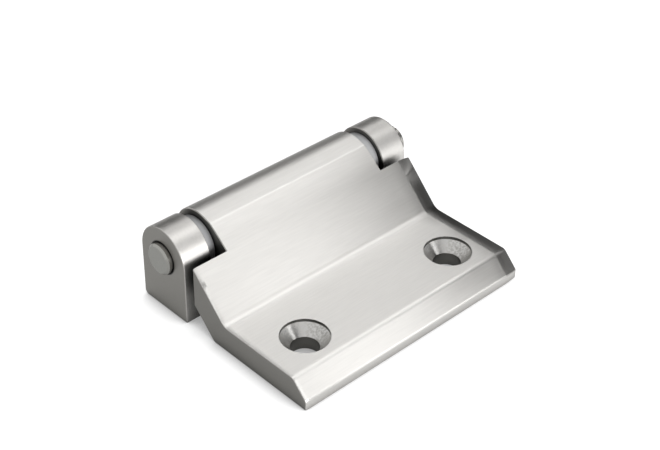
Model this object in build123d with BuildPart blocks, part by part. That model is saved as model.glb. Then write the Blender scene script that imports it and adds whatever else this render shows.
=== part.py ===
from build123d import *

import os
from math import atan2, cos, degrees, radians, sin, sqrt, tan

# A lift off hinge in brushed stainless steel, closed and lying flat, in millimetres.
# The door leaf is a cast plate bent up into a barrel. The barrel turns on a plain pin
# between the two ears of a frame block, with a plastic washer at each end. Once the pin
# is drawn out to one side, the leaf lifts off the block.
#
# X runs along the pin, -Y points to the free edge of the leaf and +Z points up.
# The origin is on the mounting plane, straight under the middle of the frame block.

# Pin
pin_radius = 4.0
pin_left_end = 1.5
pin_right_end = 4.3
pin_chamfer = 0.5
axis_height = 15.0

# Running clearances round the pin, all radial
ear_clearance = 0.03
leaf_clearance = 0.05
washer_clearance = 0.08

# Frame block: ears with a half round top, joined by a bar under the barrel
ear_radius = 8.0
ear_width = 8.0
bar_clearance = 0.83
seat_edge_radius = 1.3
ear_edge_radius = 0.35
ear_inner_chamfer = 0.2
ear_mouth_chamfer = 0.22
tapped_radius = 2.5

# Washers, each with a hair of room to its ear
washer_radius = 6.5
washer_thickness = 2.4
washer_gap = 0.07

# Door leaf, lengths along the pin: the leaf has slid to the left in its end play
leaf_length = 71.2
knuckle_length = 50.8
end_play = 1.4
left_play = 0.25

# Door leaf, section: barrel, facet, crowned slope, fold, foot, front bevel
knuckle_radius = 8.17
facet_angle = 16.0
facet_length = 2.45
facet_bend_radius = 1.5
crown_radius = 56.0
slope_angle = 45.0
slope_rise = 1.13
web_thickness = 7.5
root_radius = 2.5
heel_radius = 1.5
fold_radius = 3.0
foot_thickness = 6.8
leaf_reach = 49.0
bevel_angle = 45.0
bevel_top_radius = 2.0
nose_height = 2.4
nose_radius = 1.2
notch_gap = 2.65
leaf_edge_radius = 0.3
barrel_end_chamfer = 0.2

# Door leaf, ends: grinding along the pin has rolled the top over, more at the right end.
# The arc starts a hair above the surface, so that it crosses it instead of touching it.
left_roll_width = 1.5
left_roll_drop = 0.07
right_roll_width = 4.5
right_roll_drop = 0.42
roll_lead = 0.004
roll_overrun = 0.5

# Screw holes of the leaf; the frame block's tapped holes have the same spacing
screw_spacing = 47.7
screw_reach = 36.0
screw_radius = 3.5
head_radius = 6.0
head_angle = 90.0
lip_depth = 0.8

# Lengths along the pin that follow
ear_gap = knuckle_length + 2 * washer_thickness + end_play
frame_length = ear_gap + 2 * ear_width
leaf_shift = left_play - end_play / 2
bar_height = axis_height - knuckle_radius - bar_clearance
notch_face = -ear_radius - notch_gap

# The section is drawn in (y, z). Out is square to the slope, down runs along it.
pin_centre = Vector(0, axis_height)
slope = radians(slope_angle)
slope_out = Vector(-sin(slope), cos(slope))
slope_down = Vector(-cos(slope), -sin(slope))
slope_offset = knuckle_radius + slope_rise
underside_offset = slope_offset - web_thickness


def on_slope(offset, height):
    """The point at this height on the line that lies this far out from the pin axis."""
    run = (axis_height + offset * cos(slope) - height) / sin(slope)
    return pin_centre + slope_out * offset + slope_down * run


# The facet leaves the barrel at a tangent and ends at a soft bend
facet = radians(facet_angle)
facet_start = pin_centre + Vector(-sin(facet), cos(facet)) * knuckle_radius
bend = facet_start + Vector(-cos(facet), -sin(facet)) * facet_length

# The crowned stretch runs from that bend to where it meets the straight slope at a tangent
bend_depth = slope_offset - (bend - pin_centre).dot(slope_out)
crown_run = sqrt(bend_depth * (2 * crown_radius - bend_depth))
crown_end = bend + slope_out * bend_depth + slope_down * crown_run

fold = on_slope(slope_offset, foot_thickness)
heel = on_slope(underside_offset, 0)
bevel_run = (foot_thickness - nose_height) / tan(radians(bevel_angle))
bevel_top = Vector(-leaf_reach + bevel_run, foot_thickness)
nose_top = Vector(-leaf_reach, nose_height)
nose_bottom = Vector(-leaf_reach, 0)
under_nose = nose_bottom - Vector(0, roll_overrun)

# The underside of the slope runs up into the barrel, which turns from there to the facet
root_run = sqrt(knuckle_radius**2 - underside_offset**2)
root = pin_centre + slope_out * underside_offset + slope_down * root_run
root_angle = degrees(atan2(root.Y - pin_centre.Y, root.X))
barrel_turn = 90 + facet_angle - root_angle


def pin_axis_at(x):
    """A work plane across the pin, facing along it."""
    return Plane(origin=(x, 0, axis_height), z_dir=(1, 0, 0))


with BuildPart() as frame_block:
    with BuildSketch(Plane.YZ.offset(-frame_length / 2)):
        with BuildLine():
            Line((ear_radius, axis_height), (ear_radius, 0))
            Line((ear_radius, 0), (-ear_radius, 0))
            Line((-ear_radius, 0), (-ear_radius, axis_height))
            CenterArc(pin_centre, ear_radius, 0, 180)
        make_face()
    extrude(amount=frame_length)
    # The gap that the barrel and its two washers stand in
    with BuildSketch(Plane.XY.offset(bar_height)):
        Rectangle(ear_gap, frame_length)
    extrude(amount=frame_length, mode=Mode.SUBTRACT)
    back_seat_edge = frame_block.edges().filter_by(Axis.X).group_by(Axis.Z)[0].sort_by(Axis.Y)[-1]
    fillet(back_seat_edge, seat_edge_radius)
    ear_faces = frame_block.faces().filter_by(Axis.X).sort_by(Axis.X)
    # Each ear's inner face stands on the bar, and its lowest edge is left as it is
    inner_edges = [edge for face in ear_faces[1:-1] for edge in face.edges().sort_by(Axis.Z)[1:]]
    chamfer(inner_edges, ear_inner_chamfer)
    ear_faces = frame_block.faces().filter_by(Axis.X).sort_by(Axis.X)
    fillet(ear_faces[0].edges() + ear_faces[-1].edges(), ear_edge_radius)
    with Locations(pin_axis_at(0)):
        Hole(pin_radius + ear_clearance)
    ear_faces = frame_block.faces().filter_by(Axis.X).sort_by(Axis.X)
    mouths = ear_faces[0].inner_wires().edges() + ear_faces[-1].inner_wires().edges()
    chamfer(mouths, ear_mouth_chamfer)
    with Locations((-screw_spacing / 2, 0, bar_height), (screw_spacing / 2, 0, bar_height)):
        Hole(tapped_radius)
frame_block.part.label = "frame_block"

with BuildPart() as door_leaf:
    with BuildSketch(Plane.YZ.offset(leaf_shift - leaf_length / 2)) as leaf_section:
        with BuildLine():
            Polyline(crown_end, fold, bevel_top, nose_top, nose_bottom, heel, root)
            CenterArc(pin_centre, knuckle_radius, root_angle, barrel_turn)
            Line(facet_start, bend)
            TangentArc(crown_end, bend, tangent=-slope_down)
        make_face()
        for corner, radius in (
            (bend, facet_bend_radius),
            (fold, fold_radius),
            (bevel_top, bevel_top_radius),
            (nose_top, nose_radius),
            (heel, heel_radius),
            (root, root_radius),
        ):
            fillet(leaf_section.vertices().sort_by_distance(corner)[0], radius)
    extrude(amount=leaf_length)
    # Notches that leave room for the ears, from each end of the barrel outwards
    with BuildSketch(Plane.XY):
        with Locations((leaf_shift + knuckle_length / 2, notch_face)):
            Rectangle(leaf_length, leaf_reach, align=(Align.MIN, Align.MIN))
        with Locations((leaf_shift - knuckle_length / 2, notch_face)):
            Rectangle(leaf_length, leaf_reach, align=(Align.MAX, Align.MIN))
    extrude(amount=leaf_length, mode=Mode.SUBTRACT)
    end_faces = door_leaf.faces().filter_by(Axis.X).sort_by(Axis.X)
    # The barrel's end faces stop at the notch, and their edge there is left as it is
    barrel_edges = [edge for face in end_faces[1:-1] for edge in face.edges().sort_by(Axis.Y)[1:]]
    chamfer(barrel_edges, barrel_end_chamfer)
    # The rolled ends: a thin sliver, whose underside is the roll's arc, is swept along the
    # top of the section and cut away
    with BuildLine() as leaf_top:
        RadiusArc(bend, crown_end, -crown_radius)
        FilletPolyline(
            crown_end,
            fold,
            bevel_top,
            nose_top,
            under_nose,
            radius=[fold_radius, bevel_top_radius, nose_radius],
        )
    for side, width, drop in (
        (-1, left_roll_width, left_roll_drop),
        (1, right_roll_width, right_roll_drop),
    ):
        roll_radius = (width**2 + drop**2) / (2 * drop)
        past_end = width + roll_overrun
        inner_top = (-side * width, roll_overrun)
        inner_bottom = (-side * width, roll_lead)
        outer_bottom = (side * roll_overrun, roll_lead - past_end**2 / (2 * roll_radius))
        outer_top = (side * roll_overrun, roll_overrun)
        end_plane = Plane.YZ.offset(leaf_shift + side * leaf_length / 2)
        roll_path = end_plane.from_local_coords(leaf_top.wire())
        with BuildSketch(Plane(origin=roll_path @ 0, x_dir=(1, 0, 0), z_dir=roll_path % 0)):
            with BuildLine():
                RadiusArc(inner_bottom, outer_bottom, side * roll_radius)
                Polyline(outer_bottom, outer_top, inner_top, inner_bottom)
            make_face()
        sweep(path=roll_path, mode=Mode.SUBTRACT)
    end_faces = door_leaf.faces().filter_by(Axis.X).sort_by(Axis.X)
    fillet(end_faces[0].edges() + end_faces[-1].edges(), leaf_edge_radius)
    with Locations(pin_axis_at(leaf_shift)):
        Hole(pin_radius + leaf_clearance)
    with Locations(
        (leaf_shift - screw_spacing / 2, -screw_reach, foot_thickness - lip_depth),
        (leaf_shift + screw_spacing / 2, -screw_reach, foot_thickness - lip_depth),
    ):
        CounterSinkHole(screw_radius, head_radius, counter_sink_angle=head_angle)
door_leaf.part.label = "door_leaf"

with BuildPart() as hinge_pin:
    with BuildSketch(pin_axis_at(-frame_length / 2 - pin_left_end)):
        Circle(pin_radius)
    extrude(amount=frame_length + pin_left_end + pin_right_end)
    chamfer(hinge_pin.edges().filter_by(GeomType.CIRCLE), pin_chamfer)
hinge_pin.part.label = "hinge_pin"

washers = []
for name, start in (
    ("left_washer", -ear_gap / 2 + washer_gap),
    ("right_washer", ear_gap / 2 - washer_gap - washer_thickness),
):
    with BuildPart() as washer:
        with BuildSketch(pin_axis_at(start)):
            Circle(washer_radius)
            Circle(pin_radius + washer_clearance, mode=Mode.SUBTRACT)
        extrude(amount=washer_thickness)
    washer.part.label = name
    washers.append(washer)

os.makedirs("parts", exist_ok=True)
for piece in (frame_block, door_leaf, hinge_pin, *washers):
    export_step(piece.part, f"parts/{piece.part.label}.step")
    box = piece.part.bounding_box()
    print(piece.part.label, box.min, box.max)
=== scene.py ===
from math import cos, pi, radians, sin

import bmesh
import bpy
from mathutils import Matrix, Vector

# A lift off hinge in brushed stainless steel, closed and lying flat on a white table.
# All lengths are in metres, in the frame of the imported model.

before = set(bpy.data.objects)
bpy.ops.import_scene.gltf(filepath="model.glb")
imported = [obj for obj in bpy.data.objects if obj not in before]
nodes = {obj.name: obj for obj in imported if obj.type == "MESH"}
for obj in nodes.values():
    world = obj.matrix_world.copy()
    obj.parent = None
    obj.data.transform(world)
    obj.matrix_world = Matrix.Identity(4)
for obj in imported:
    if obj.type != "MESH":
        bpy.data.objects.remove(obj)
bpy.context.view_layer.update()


# The door leaf is one steel casting. Its slope, foot and bevel are ground along the pin with a
# fine belt. Its two ends are left duller, as they were sawn, and their darker colour is painted
# shade. The seats for its two screws are turned.

leaf_colour = (0.70, 0.687, 0.663)
# The ends take a darker colour as painted shade
leaf_end_shade_colour = (0.235, 0.229, 0.214)
leaf_roughness = 0.30

# How often the marks of the belt repeat in a metre along X, Y and Z, and how they draw
# out the highlight, turned by a part of a full turn
leaf_streaks = (140, 2200, 2200)
leaf_patches = (25, 160, 160)
leaf_anisotropy = 0.9
grain_along_pin = 0.0

# The marks' own shape, and how much they change the finish
streak_detail = 1.0
patch_detail = 3.0
grain_roughness = 0.65
grain_span = (0.3, 0.7)
roughness_spread = 0.07
darkest_tone = 0.945
lightest_tone = 1.04

# Inner corners take painted shade, where other metal stands within this reach
crevice_shade_colour = (0.03, 0.03, 0.03)
crevice_reach = 0.008
crevice_open = 0.6
crevice_deep = 0.25

# Painted dark reflection: the top darkens towards its right end, between these places along the
# pin
roll_reflection_colour = (0.38, 0.372, 0.36)
roll_reflection_start = 0.0275
roll_reflection_finish = 0.0365
roll_reflection_raggedness = 0.0018

# The seats have mottled cones, and painted shade on their upright walls. They are a little off
# the middle, because the leaf has slid to the left in its end play.
seat_radius = 0.0061
seat_edge = 0.0001
seat_reach = 0.036
seat_spacing = 0.0477
seat_shift = 0.00045
mottle_colour = (0.57, 0.565, 0.55)
mottle_scale = 1800.0
mottle_detail = 2.0
mottle_span = (0.4, 0.6)
wall_shade_colour = (0.19, 0.187, 0.175)

# How squarely a face looks along the pin, or up, where a mask starts and where it is full
end_facing = (0.25, 0.9)
top_facing = (0.1, 0.5)
wall_facing = (0.6, 0.2)


def feed(tree, socket, value):
    """Links a socket to another node's output, or sets it to a plain value."""
    if isinstance(value, bpy.types.NodeSocket):
        tree.links.new(value, socket)
    else:
        socket.default_value = value


def add_node(tree, kind, *values, **settings):
    """A node with its properties and sockets set by name, or its first sockets in order."""
    node = tree.nodes.new(kind)
    for name, value in settings.items():
        socket = node.inputs.get(name.replace("_", " "))
        if socket is None:
            setattr(node, name, value)
        else:
            feed(tree, socket, value)
    for socket, value in zip(node.inputs, values):
        feed(tree, socket, value)
    return node


def ramp(tree, value, start, finish, low=0.0, high=1.0, curve="LINEAR"):
    """Turns a value that runs from start to finish into one that runs from low to high."""
    node = add_node(
        tree,
        "ShaderNodeMapRange",
        interpolation_type=curve,
        Value=value,
        From_Min=start,
        From_Max=finish,
        To_Min=low,
        To_Max=high,
    )
    return node.outputs["Result"]


def new_material(name, **sockets):
    """A node material with these sockets of its shader fed or set by name."""
    material = bpy.data.materials.new(name)
    material.use_nodes = True
    shader = material.node_tree.nodes["Principled BSDF"]
    for label, value in sockets.items():
        feed(material.node_tree, shader.inputs[label.replace("_", " ")], value)
    return material


def new_group(name, inputs, outputs):
    """A node group that takes these sockets and puts out these masks, with its end nodes."""
    group = bpy.data.node_groups.new(name, "ShaderNodeTree")
    for label, kind in inputs.items():
        group.interface.new_socket(label, in_out="INPUT", socket_type=kind)
    for label in outputs:
        group.interface.new_socket(label, in_out="OUTPUT", socket_type="NodeSocketFloat")
    start = group.nodes.new("NodeGroupInput")
    end = group.nodes.new("NodeGroupOutput")
    return group, start, end


def make_grain():
    """The marks of a belt or wheel: fine streaks, and long patches where it cut deeper."""
    scales = {"Streak Scale": "NodeSocketVector", "Patch Scale": "NodeSocketVector"}
    group, start, end = new_group("belt_grain", scales, ["Streaks", "Patches"])
    place = add_node(group, "ShaderNodeTexCoord")
    for scale, output, detail in (
        ("Streak Scale", "Streaks", streak_detail),
        ("Patch Scale", "Patches", patch_detail),
    ):
        stretched = add_node(
            group, "ShaderNodeMapping", Vector=place.outputs["Object"], Scale=start.outputs[scale]
        )
        noise = add_node(
            group,
            "ShaderNodeTexNoise",
            Vector=stretched.outputs["Vector"],
            Scale=1.0,
            Detail=detail,
            Roughness=grain_roughness,
        )
        feed(group, end.inputs[output], ramp(group, noise.outputs["Fac"], *grain_span))
    return group


def make_end_face_shade():
    """A mask of the faces at the two ends along the pin, faded over their rounded edges, for
    their painted shade.
    """
    group, _, end = new_group("end_face_shade", {}, ["Mask"])
    place = add_node(group, "ShaderNodeTexCoord")
    facing = add_node(group, "ShaderNodeSeparateXYZ", place.outputs["Normal"])
    along = add_node(group, "ShaderNodeMath", facing.outputs["X"], operation="ABSOLUTE")
    feed(group, end.inputs["Mask"], ramp(group, along.outputs["Value"], *end_facing))
    return group


def make_roll_reflection_mask():
    """A mask of painted dark reflection, that fades in, in streaks, over the top of the leaf
    towards its right end.
    """
    group, start, end = new_group("roll_reflection_mask", {"Streaks": "NodeSocketFloat"}, ["Mask"])
    place = add_node(group, "ShaderNodeTexCoord")
    spot = add_node(group, "ShaderNodeSeparateXYZ", place.outputs["Object"])
    ragged = add_node(
        group,
        "ShaderNodeMath",
        start.outputs["Streaks"],
        roll_reflection_raggedness,
        spot.outputs["X"],
        operation="MULTIPLY_ADD",
    )
    roll_reflection = ramp(group, ragged.outputs["Value"], roll_reflection_start, roll_reflection_finish, curve="SMOOTHSTEP")
    facing = add_node(group, "ShaderNodeSeparateXYZ", place.outputs["Normal"])
    upward = ramp(group, facing.outputs["Z"], *top_facing)
    both = add_node(group, "ShaderNodeMath", roll_reflection, upward, operation="MULTIPLY")
    feed(group, end.inputs["Mask"], both.outputs["Value"])
    return group


def make_seat_marks():
    """Masks round the leaf's two screws: the whole seat, and its upright walls."""
    group, _, end = new_group("seat_marks", {}, ["Seat", "Walls"])
    place = add_node(group, "ShaderNodeTexCoord")
    spot = place.outputs["Object"]
    for operation, *amount in (
        ("ADD", (seat_shift, seat_reach, 0)),
        ("ABSOLUTE",),
        ("SUBTRACT", (seat_spacing / 2, 0, 0)),
        ("MULTIPLY", (1, 1, 0)),
    ):
        step = add_node(group, "ShaderNodeVectorMath", spot, *amount, operation=operation)
        spot = step.outputs["Vector"]
    away = add_node(group, "ShaderNodeVectorMath", spot, operation="LENGTH")
    seat = ramp(group, away.outputs["Value"], seat_radius + seat_edge, seat_radius)
    facing = add_node(group, "ShaderNodeSeparateXYZ", place.outputs["Normal"])
    level = add_node(group, "ShaderNodeMath", facing.outputs["Z"], operation="ABSOLUTE")
    upright = ramp(group, level.outputs["Value"], *wall_facing)
    walls = add_node(group, "ShaderNodeMath", seat, upright, operation="MULTIPLY")
    feed(group, end.inputs["Seat"], seat)
    feed(group, end.inputs["Walls"], walls.outputs["Value"])
    return group


belt_grain = make_grain()
end_face_shade = make_end_face_shade()
roll_reflection_mask = make_roll_reflection_mask()
seat_marks = make_seat_marks()


def blend_colour(tree, mask, colour):
    """Mixes a colour over what feeds the shader's Base Color so far, by a mask."""
    base = tree.nodes["Principled BSDF"].inputs["Base Color"]
    mix = add_node(
        tree,
        "ShaderNodeMix",
        data_type="RGBA",
        Factor=mask,
        A=base.links[0].from_socket,
        B=(*colour, 1),
    )
    feed(tree, base, mix.outputs["Result"])


def steel(name, colour, end_face_shade_colour, roughness, streaks, patches, anisotropy, turn):
    """Ground stainless steel with its grain in the tone and the roughness, and painted shade on
    its end faces and in its inner corners.
    """
    material = new_material(name, Metallic=1.0, Anisotropic=anisotropy, Anisotropic_Rotation=turn)
    tree = material.node_tree
    shader = tree.nodes["Principled BSDF"]
    grain = add_node(
        tree,
        "ShaderNodeGroup",
        node_tree=belt_grain,
        name="grain",
        Streak_Scale=streaks,
        Patch_Scale=patches,
    )
    smoothest = roughness * (1 - roughness_spread)
    roughest = roughness * (1 + roughness_spread)
    rough = ramp(tree, grain.outputs["Patches"], 0.0, 1.0, smoothest, roughest)
    feed(tree, shader.inputs["Roughness"], rough)
    both = add_node(
        tree,
        "ShaderNodeMath",
        grain.outputs["Streaks"],
        grain.outputs["Patches"],
        operation="ADD",
    )
    tone = add_node(
        tree,
        "ShaderNodeMapRange",
        data_type="FLOAT_VECTOR",
        Vector=both.outputs["Value"],
        From_Max=(2, 2, 2),
        To_Min=[darkest_tone * part for part in colour],
        To_Max=[lightest_tone * part for part in colour],
    )
    feed(tree, shader.inputs["Base Color"], tone.outputs["Vector"])
    # Painted shade on the faces at the two ends
    ends = add_node(tree, "ShaderNodeGroup", node_tree=end_face_shade)
    blend_colour(tree, ends.outputs["Mask"], end_face_shade_colour)
    # Painted shade: other metal close in front of the surface keeps the light from it
    nearness = add_node(tree, "ShaderNodeAmbientOcclusion", Distance=crevice_reach)
    depth = ramp(tree, nearness.outputs["AO"], crevice_open, crevice_deep)
    blend_colour(tree, depth, crevice_shade_colour)
    tangent = add_node(tree, "ShaderNodeTangent", direction_type="RADIAL", axis="X")
    feed(tree, shader.inputs["Tangent"], tangent.outputs["Tangent"])
    return material


def dress(name, material):
    """Gives a piece of the CAD model its material."""
    slots = nodes[name].data.materials
    slots.clear()
    slots.append(material)


leaf_steel = steel(
    "leaf_steel",
    leaf_colour,
    leaf_end_shade_colour,
    leaf_roughness,
    leaf_streaks,
    leaf_patches,
    leaf_anisotropy,
    grain_along_pin,
)
tree = leaf_steel.node_tree
patches = tree.nodes["grain"].outputs["Patches"]
# Painted dark reflection towards the right end of the top
roll_reflection = add_node(tree, "ShaderNodeGroup", node_tree=roll_reflection_mask, Streaks=patches)
blend_colour(tree, roll_reflection.outputs["Mask"], roll_reflection_colour)
place = add_node(tree, "ShaderNodeTexCoord")
mottle = add_node(
    tree,
    "ShaderNodeTexNoise",
    Vector=place.outputs["Object"],
    Scale=mottle_scale,
    Detail=mottle_detail,
)
marks = add_node(tree, "ShaderNodeGroup", node_tree=seat_marks)
mottled = add_node(
    tree,
    "ShaderNodeMath",
    ramp(tree, mottle.outputs["Fac"], *mottle_span),
    marks.outputs["Seat"],
    operation="MULTIPLY",
)
blend_colour(tree, mottled.outputs["Value"], mottle_colour)
# Painted shade on the seats' upright walls
blend_colour(tree, marks.outputs["Walls"], wall_shade_colour)
dress("door_leaf", leaf_steel)


# The frame block is one steel casting too, and is screwed down from behind. Its ears are
# ground round the pin, so their grain runs the other way.

block_colour = (0.71, 0.695, 0.67)
# The ends take a darker colour as painted shade
block_end_shade_colour = (0.285, 0.278, 0.26)
block_roughness = 0.44
block_streaks = (2200, 1300, 1300)
block_patches = (300, 90, 90)
block_anisotropy = 0.0
grain_round_pin = 0.25

# Painted shade in the bores round the pin, as hardly any light gets into them
mouth_shade_colour = (0.05, 0.05, 0.048)
mouth_radius = 0.00435
mouth_edge = 0.0002
pin_height = 0.015


def make_bore_mouths():
    """A mask of the bore through the ears, with the rims of its mouths."""
    group, _, end = new_group("bore_mouths", {}, ["Mask"])
    place = add_node(group, "ShaderNodeTexCoord")
    spot = place.outputs["Object"]
    for operation, amount in (("SUBTRACT", (0, 0, pin_height)), ("MULTIPLY", (0, 1, 1))):
        step = add_node(group, "ShaderNodeVectorMath", spot, amount, operation=operation)
        spot = step.outputs["Vector"]
    away = add_node(group, "ShaderNodeVectorMath", spot, operation="LENGTH")
    mouth = ramp(group, away.outputs["Value"], mouth_radius + mouth_edge, mouth_radius)
    feed(group, end.inputs["Mask"], mouth)
    return group


block_steel = steel(
    "block_steel",
    block_colour,
    block_end_shade_colour,
    block_roughness,
    block_streaks,
    block_patches,
    block_anisotropy,
    grain_round_pin,
)
tree = block_steel.node_tree
mouths = add_node(tree, "ShaderNodeGroup", node_tree=make_bore_mouths())
blend_colour(tree, mouths.outputs["Mask"], mouth_shade_colour)
dress("frame_block", block_steel)


# The pin is a plain rod of ground stainless steel with chamfered ends. It is pushed
# through both ears and the barrel, and stands out of both ears.

# The pin's colour is painted darker than its steel, as painted shade
pin_colour = (0.40, 0.39, 0.37)
pin_end_shade_colour = (0.32, 0.32, 0.30)
pin_roughness = 0.25
pin_streaks = (2500, 300, 300)
pin_patches = (300, 60, 60)
pin_anisotropy = 0.4

pin_steel = steel(
    "pin_steel",
    pin_colour,
    pin_end_shade_colour,
    pin_roughness,
    pin_streaks,
    pin_patches,
    pin_anisotropy,
    grain_round_pin,
)
dress("hinge_pin", pin_steel)


# Each washer is moulded in pale, cool grey plastic. The two sit on the pin between the
# ears and the barrel, and keep steel from rubbing on steel.

washer_colour = (0.60, 0.605, 0.615, 1)
washer_roughness = 0.45

washer_plastic = new_material(
    "washer_plastic", Base_Color=washer_colour, Roughness=washer_roughness
)
for name in ("left_washer", "right_washer"):
    dress(name, washer_plastic)


# The table is white and matt, and bright to the camera and in the steel. The hinge
# shades it softly where the two meet.

table_size = 6.0
table_colour = (0.5, 0.5, 0.5, 1)
table_roughness = 0.9
table_sheen = 0.1

# It glows this much in the steel, and by camera_glow more to the camera
table_glow = 0.55
camera_glow = 0.4

# The hinge shades it within this reach, from where it is fully shaded to where it isn't
shade_reach = 0.008
shade_full = 0.35
shade_gone = 0.83
shade_level = 0.3


def stage_object(name, shape, material):
    """An object of the set, made from a finished bmesh and one material."""
    mesh = bpy.data.meshes.new(name)
    shape.to_mesh(mesh)
    shape.free()
    mesh.materials.append(material)
    item = bpy.data.objects.new(name, mesh)
    bpy.context.scene.collection.objects.link(item)
    return item


def shown_white(tree):
    """A factor that is 1 for what the camera, the steel or glass sees, and 0 for light."""
    rays = add_node(tree, "ShaderNodeLightPath")
    seen = rays.outputs["Is Camera Ray"]
    for label in ("Is Glossy Ray", "Is Transmission Ray"):
        either = add_node(tree, "ShaderNodeMath", seen, rays.outputs[label], operation="MAXIMUM")
        seen = either.outputs["Value"]
    return seen


table_white = new_material(
    "table_white",
    Base_Color=table_colour,
    Roughness=table_roughness,
    Specular_IOR_Level=table_sheen,
)
table_white.cycles.emission_sampling = "NONE"
tree = table_white.node_tree
matt = tree.nodes["Principled BSDF"].outputs["BSDF"]
nearness = add_node(tree, "ShaderNodeAmbientOcclusion", Distance=shade_reach)
shade = ramp(
    tree, nearness.outputs["AO"], shade_full, shade_gone, low=shade_level, curve="SMOOTHSTEP"
)
rays = add_node(tree, "ShaderNodeLightPath")
level = add_node(
    tree,
    "ShaderNodeMath",
    rays.outputs["Is Camera Ray"],
    camera_glow,
    table_glow,
    operation="MULTIPLY_ADD",
)
glow = add_node(tree, "ShaderNodeEmission", Color=shade, Strength=level.outputs["Value"])
bright = add_node(tree, "ShaderNodeAddShader", matt, glow.outputs["Emission"])
pick = add_node(tree, "ShaderNodeMixShader", shown_white(tree), matt, bright.outputs["Shader"])
feed(tree, tree.nodes["Material Output"].inputs["Surface"], pick.outputs["Shader"])

shape = bmesh.new()
bmesh.ops.create_grid(shape, x_segments=1, y_segments=1, size=table_size / 2)
stage_object("table", shape, table_white)


# The room round the table is white to the camera and in the steel, so that nothing
# stands behind the hinge. Its own light is dim, and the soft boxes do the rest.

room_grey = (0.1, 0.1, 0.1, 1)
room_white = (1, 1, 1, 1)

world = bpy.data.worlds.new("room")
world.use_nodes = True
world.cycles.sampling_method = "NONE"
bpy.context.scene.world = world
tree = world.node_tree
dim = tree.nodes["Background"]
feed(tree, dim.inputs["Color"], room_grey)
white = add_node(tree, "ShaderNodeBackground", Color=room_white)
pick = add_node(
    tree,
    "ShaderNodeMixShader",
    shown_white(tree),
    dim.outputs["Background"],
    white.outputs["Background"],
)
feed(tree, tree.nodes["World Output"].inputs["Surface"], pick.outputs["Shader"])


# Black cards stand round the hinge as in a photographer's tent. Only the steel shows
# them, as its dark bands.

card_colour = (0.02, 0.02, 0.02, 1)
card_thickness = 0.01

# The inner faces of the cards: to the front and the back, right, left, top and foot
tent_depth = 0.61
tent_right = 0.91
tent_left = -0.1
tent_top = 0.51
tent_foot = -0.01
outer_depth = tent_depth + card_thickness
outer_right = tent_right + card_thickness
outer_top = tent_top + card_thickness

card_black = new_material("card_black", Base_Color=card_colour, Specular_IOR_Level=0.0)

for name, low, high in (
    ("top_card", (0, -outer_depth, tent_top), (outer_right, outer_depth, outer_top)),
    ("back_card", (tent_left, tent_depth, tent_foot), (outer_right, outer_depth, tent_top)),
    ("right_card", (tent_right, -outer_depth, tent_foot), (outer_right, outer_depth, tent_top)),
    ("front_card", (tent_left, -outer_depth, tent_foot), (outer_right, -tent_depth, tent_top)),
):
    shape = bmesh.new()
    bmesh.ops.create_cube(shape, size=1)
    bmesh.ops.scale(shape, vec=Vector(high) - Vector(low), verts=shape.verts)
    bmesh.ops.translate(shape, vec=(Vector(high) + Vector(low)) / 2, verts=shape.verts)
    card = stage_object(name, shape, card_black)
    card.visible_camera = False
    card.visible_diffuse = False
    card.visible_shadow = False


# Soft boxes hang just inside the cards. The brightness of each is given as the level
# that a mirror would show.

box_top = tent_top - card_thickness
box_front = card_thickness - tent_depth
box_right = tent_right - card_thickness

# Each one's place, the way it faces, its width and height, and its level
for name, centre, facing, width, height, level in (
    ("back_overhead_box", (0.404, 0.33, box_top), (0, 0, -1), 0.362, 0.17, 2.65),
    ("overhead_box", (0.221, -0.065, box_top), (0, 0, -1), 0.442, 0.292, 1.97),
    ("front_overhead_box", (0.326, -0.442, box_top), (0, 0, -1), 0.286, 0.283, 1.3),
    ("front_high_box", (0.409, box_front, 0.215), (0, 1, 0), 0.206, 0.42, 2.45),
    ("front_low_box", (0.067, box_front, 0.123), (0, 1, 0), 0.334, 0.238, 6.77),
    ("right_box", (box_right, 0, 0.25), (-1, 0, 0), 1.2, 0.5, 0.2),
):
    lamp = bpy.data.lights.new(name, "AREA")
    lamp.shape = "RECTANGLE"
    lamp.size = width
    lamp.size_y = height
    lamp.energy = level * pi * width * height
    holder = bpy.data.objects.new(name, lamp)
    bpy.context.scene.collection.objects.link(holder)
    holder.location = centre
    holder.rotation_euler = Vector(facing).to_track_quat("-Z", "Y").to_euler()
    holder.visible_camera = False


# The camera stands to the front left, about 0.37 m away, and looks down at the hinge
# as in the photograph.

camera_azimuth = radians(-44.155)
camera_elevation = radians(35.9746)
camera_roll = radians(1.2264)
camera_distance = 0.36925
camera_target = Vector((0.01587, -0.00198, 0))

camera = bpy.data.cameras.new("camera")
camera.lens = 77.5
camera.sensor_width = 36
camera.clip_start = 0.01
holder = bpy.data.objects.new("camera", camera)
bpy.context.scene.collection.objects.link(holder)
back = Vector(
    (
        sin(camera_azimuth) * cos(camera_elevation),
        -cos(camera_azimuth) * cos(camera_elevation),
        sin(camera_elevation),
    )
)
holder.location = camera_target + back * camera_distance
aim = (-back).to_track_quat("-Z", "Y").to_matrix().to_4x4()
holder.rotation_euler = (aim @ Matrix.Rotation(camera_roll, 4, "Z")).to_euler()
bpy.context.scene.camera = holder

bpy.context.scene.view_settings.view_transform = "Standard"
